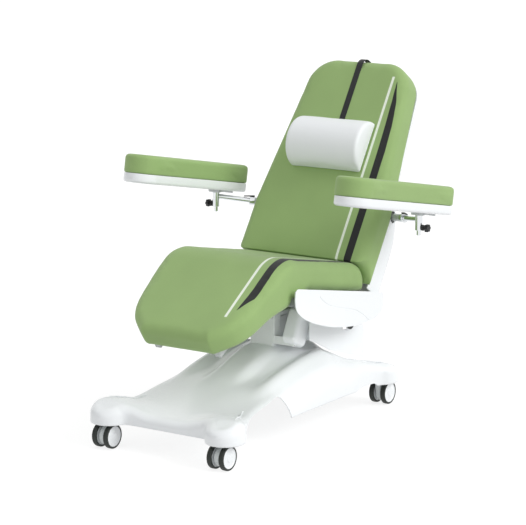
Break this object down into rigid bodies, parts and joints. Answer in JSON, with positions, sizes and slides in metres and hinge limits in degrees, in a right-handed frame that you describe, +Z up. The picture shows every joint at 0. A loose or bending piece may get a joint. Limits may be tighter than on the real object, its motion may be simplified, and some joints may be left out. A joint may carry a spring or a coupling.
{
  "type": "hemodialysis chair",
  "caption": "Wheeled treatment chair with a lifting column, tilting seat, reclining back, folding leg rest, head pillow and swing-out armrests.",
  "frame": {"origin": "on the floor, at the centre of the bounding box's bottom face", "axes": "+Z up, -Y towards the foot end, +X towards the occupant's left"},
  "size_m": [1.189, 1.6606, 1.4355],
  "materials": {
    "white_shell": "smooth glossy white moulded shell",
    "upholstery": "fine-grained green upholstery over foam",
    "pillow_cover": "smooth white cover",
    "strap_web": "woven black strap",
    "board": "plywood",
    "column": "satin anodised",
    "frame_steel": "grey powder coat",
    "bright_steel": "plated",
    "grey_tube": "light grey paint",
    "tyre": "soft black tread on a white hub disc",
    "black_plastic": "fine matt"
  },
  "bodies": {
    "base": {"base_cover": "white_shell", "base_frame": "frame_steel", "column_outer": "column", "lift_drive_tube": "black_plastic"},
    "lift": {"column_inner": "column", "lift_carriage": "frame_steel", "lift_shroud": "white_shell", "lift_push_rod": "bright_steel", "tilt_shaft": "bright_steel", "tilt_actuator_housing": "white_shell"},
    "seat": {"seat_frame": "frame_steel", "seat_board": "board", "seat_pad": "upholstery", "fairing_left": "white_shell", "fairing_right": "white_shell", "control_box": "black_plastic", "knee_pin": "bright_steel", "back_pin": "bright_steel", "leg_actuator_housing": "black_plastic", "back_actuator_housing": "black_plastic"},
    "leg_rest": {"leg_frame": "frame_steel", "leg_board": "board", "leg_pad": "upholstery"},
    "back": {"back_frame": "frame_steel", "back_board": "board", "back_shell": "white_shell", "back_pad": "upholstery", "pillow_strap": "strap_web", "arm_sleeve_left": "grey_tube", "arm_sleeve_right": "grey_tube"},
    "tilt_rod": {"tilt_actuator_rod": "bright_steel"},
    "leg_rod": {"leg_actuator_rod": "bright_steel"},
    "back_rod": {"back_actuator_rod": "bright_steel"},
    "pillow": {"pillow": "pillow_cover"},
    "caster_front_left": {"caster_housing_front_left": "white_shell"},
    "wheel_outer_front_left": {"wheel_outer_front_left": "tyre"},
    "wheel_inner_front_left": {"wheel_inner_front_left": "tyre"},
    "caster_front_right": {"caster_housing_front_right": "white_shell"},
    "wheel_outer_front_right": {"wheel_outer_front_right": "tyre"},
    "wheel_inner_front_right": {"wheel_inner_front_right": "tyre"},
    "caster_rear_left": {"caster_housing_rear_left": "white_shell"},
    "wheel_outer_rear_left": {"wheel_outer_rear_left": "tyre"},
    "wheel_inner_rear_left": {"wheel_inner_rear_left": "tyre"},
    "caster_rear_right": {"caster_housing_rear_right": "white_shell"},
    "wheel_outer_rear_right": {"wheel_outer_rear_right": "tyre"},
    "wheel_inner_rear_right": {"wheel_inner_rear_right": "tyre"},
    "arm_slide_left": {"arm_tube_left": "bright_steel"},
    "arm_knob_left": {"arm_knob_left": "black_plastic"},
    "arm_post_left": {"arm_post_left": "bright_steel"},
    "arm_rest_left": {"arm_bracket_left": "grey_tube", "arm_tray_left": "white_shell", "arm_pad_left": "upholstery"},
    "arm_lever_left": {"arm_lever_left": "black_plastic"},
    "arm_slide_right": {"arm_tube_right": "bright_steel"},
    "arm_knob_right": {"arm_knob_right": "black_plastic"},
    "arm_post_right": {"arm_post_right": "bright_steel"},
    "arm_rest_right": {"arm_bracket_right": "grey_tube", "arm_tray_right": "white_shell", "arm_pad_right": "upholstery"},
    "arm_lever_right": {"arm_lever_right": "black_plastic"}
  },
  "joints": [
    {"name": "lift", "type": "slide", "parent": "base", "child": "lift", "axis": [0, 0, 1], "range_m": [0, 0.25]},
    {"name": "seat_tilt", "type": "hinge", "parent": "lift", "child": "seat", "pos_m": [0, 0.2704, 0.372], "axis": [-1, 0, 0], "range_deg": [0, 14]},
    {"name": "leg_raise", "type": "hinge", "parent": "seat", "child": "leg_rest", "pos_m": [0, -0.28869, 0.57523], "axis": [-1, 0, 0], "range_deg": [-7, 44]},
    {"name": "back_recline", "type": "hinge", "parent": "seat", "child": "back", "pos_m": [0, 0.26165, 0.4978], "axis": [-1, 0, 0], "range_deg": [0, 57]},
    {"name": "pillow_slide", "type": "slide", "parent": "back", "child": "pillow", "axis": [0, 0.5446, 0.8387], "range_m": [-0.08, 0.06]},
    {"name": "tilt_rod_travel", "type": "slide", "parent": "lift", "child": "tilt_rod", "axis": [0, 0.4462, 0.8949], "range_m": [-0.001, 0.075]},
    {"name": "leg_rod_travel", "type": "slide", "parent": "seat", "child": "leg_rod", "axis": [0, -1, 0], "range_m": [-0.012, 0.056]},
    {"name": "back_rod_travel", "type": "slide", "parent": "seat", "child": "back_rod", "axis": [0, -1, 0], "range_m": [-0.001, 0.071]},
    {"name": "caster_swivel_front_left", "type": "hinge", "parent": "base", "child": "caster_front_left", "pos_m": [0.28, -0.7506, 0.108], "axis": [0, 0, 1], "continuous": true},
    {"name": "roll_outer_front_left", "type": "hinge", "parent": "caster_front_left", "child": "wheel_outer_front_left", "pos_m": [0.28, -0.7746, 0.05], "axis": [1, 0, 0], "continuous": true},
    {"name": "roll_inner_front_left", "type": "hinge", "parent": "caster_front_left", "child": "wheel_inner_front_left", "pos_m": [0.28, -0.7746, 0.05], "axis": [1, 0, 0], "continuous": true},
    {"name": "caster_swivel_front_right", "type": "hinge", "parent": "base", "child": "caster_front_right", "pos_m": [-0.28, -0.7506, 0.108], "axis": [0, 0, 1], "continuous": true},
    {"name": "roll_outer_front_right", "type": "hinge", "parent": "caster_front_right", "child": "wheel_outer_front_right", "pos_m": [-0.28, -0.7746, 0.05], "axis": [1, 0, 0], "continuous": true},
    {"name": "roll_inner_front_right", "type": "hinge", "parent": "caster_front_right", "child": "wheel_inner_front_right", "pos_m": [-0.28, -0.7746, 0.05], "axis": [1, 0, 0], "continuous": true},
    {"name": "caster_swivel_rear_left", "type": "hinge", "parent": "base", "child": "caster_rear_left", "pos_m": [0.28, 0.4114, 0.108], "axis": [0, 0, 1], "continuous": true},
    {"name": "roll_outer_rear_left", "type": "hinge", "parent": "caster_rear_left", "child": "wheel_outer_rear_left", "pos_m": [0.28, 0.4354, 0.05], "axis": [1, 0, 0], "continuous": true},
    {"name": "roll_inner_rear_left", "type": "hinge", "parent": "caster_rear_left", "child": "wheel_inner_rear_left", "pos_m": [0.28, 0.4354, 0.05], "axis": [1, 0, 0], "continuous": true},
    {"name": "caster_swivel_rear_right", "type": "hinge", "parent": "base", "child": "caster_rear_right", "pos_m": [-0.28, 0.4114, 0.108], "axis": [0, 0, 1], "continuous": true},
    {"name": "roll_outer_rear_right", "type": "hinge", "parent": "caster_rear_right", "child": "wheel_outer_rear_right", "pos_m": [-0.28, 0.4354, 0.05], "axis": [1, 0, 0], "continuous": true},
    {"name": "roll_inner_rear_right", "type": "hinge", "parent": "caster_rear_right", "child": "wheel_inner_rear_right", "pos_m": [-0.28, 0.4354, 0.05], "axis": [1, 0, 0], "continuous": true},
    {"name": "arm_reach_left", "type": "slide", "parent": "back", "child": "arm_slide_left", "axis": [0.8011, -0.5828, 0.1365], "range_m": [0, 0.05]},
    {"name": "arm_lever_turn_left", "type": "hinge", "parent": "back", "child": "arm_lever_left", "pos_m": [0.38063, 0.42098, 0.83561], "axis": [0, 0, 1], "range_deg": [0, 80]},
    {"name": "arm_height_left", "type": "slide", "parent": "arm_slide_left", "child": "arm_post_left", "axis": [0, 0, 1], "range_m": [0, 0.05]},
    {"name": "arm_swing_left", "type": "hinge", "parent": "arm_post_left", "child": "arm_rest_left", "pos_m": [0.512, 0.3254, 0.861], "axis": [0, 0, 1], "range_deg": [-15, 90]},
    {"name": "arm_knob_turn_left", "type": "hinge", "parent": "arm_slide_left", "child": "arm_knob_left", "pos_m": [0.555, 0.3254, 0.808], "axis": [1, 0, 0], "range_deg": [-180, 180]},
    {"name": "arm_reach_right", "type": "slide", "parent": "back", "child": "arm_slide_right", "axis": [-0.8011, -0.5828, 0.1365], "range_m": [0, 0.05]},
    {"name": "arm_lever_turn_right", "type": "hinge", "parent": "back", "child": "arm_lever_right", "pos_m": [-0.38063, 0.42098, 0.83561], "axis": [0, 0, -1], "range_deg": [0, 80]},
    {"name": "arm_height_right", "type": "slide", "parent": "arm_slide_right", "child": "arm_post_right", "axis": [0, 0, 1], "range_m": [0, 0.05]},
    {"name": "arm_swing_right", "type": "hinge", "parent": "arm_post_right", "child": "arm_rest_right", "pos_m": [-0.512, 0.3254, 0.861], "axis": [0, 0, -1], "range_deg": [-15, 90]},
    {"name": "arm_knob_turn_right", "type": "hinge", "parent": "arm_slide_right", "child": "arm_knob_right", "pos_m": [-0.555, 0.3254, 0.808], "axis": [-1, 0, 0], "range_deg": [-180, 180]}
  ],
  "couplings": [
    {"joint": "tilt_rod_travel", "follows": "seat_tilt", "m_per_rad": 0.2939},
    {"joint": "leg_rod_travel", "follows": "leg_raise", "m_per_rad": 0.07024},
    {"joint": "back_rod_travel", "follows": "back_recline", "m_per_rad": 0.06907}
  ]
}
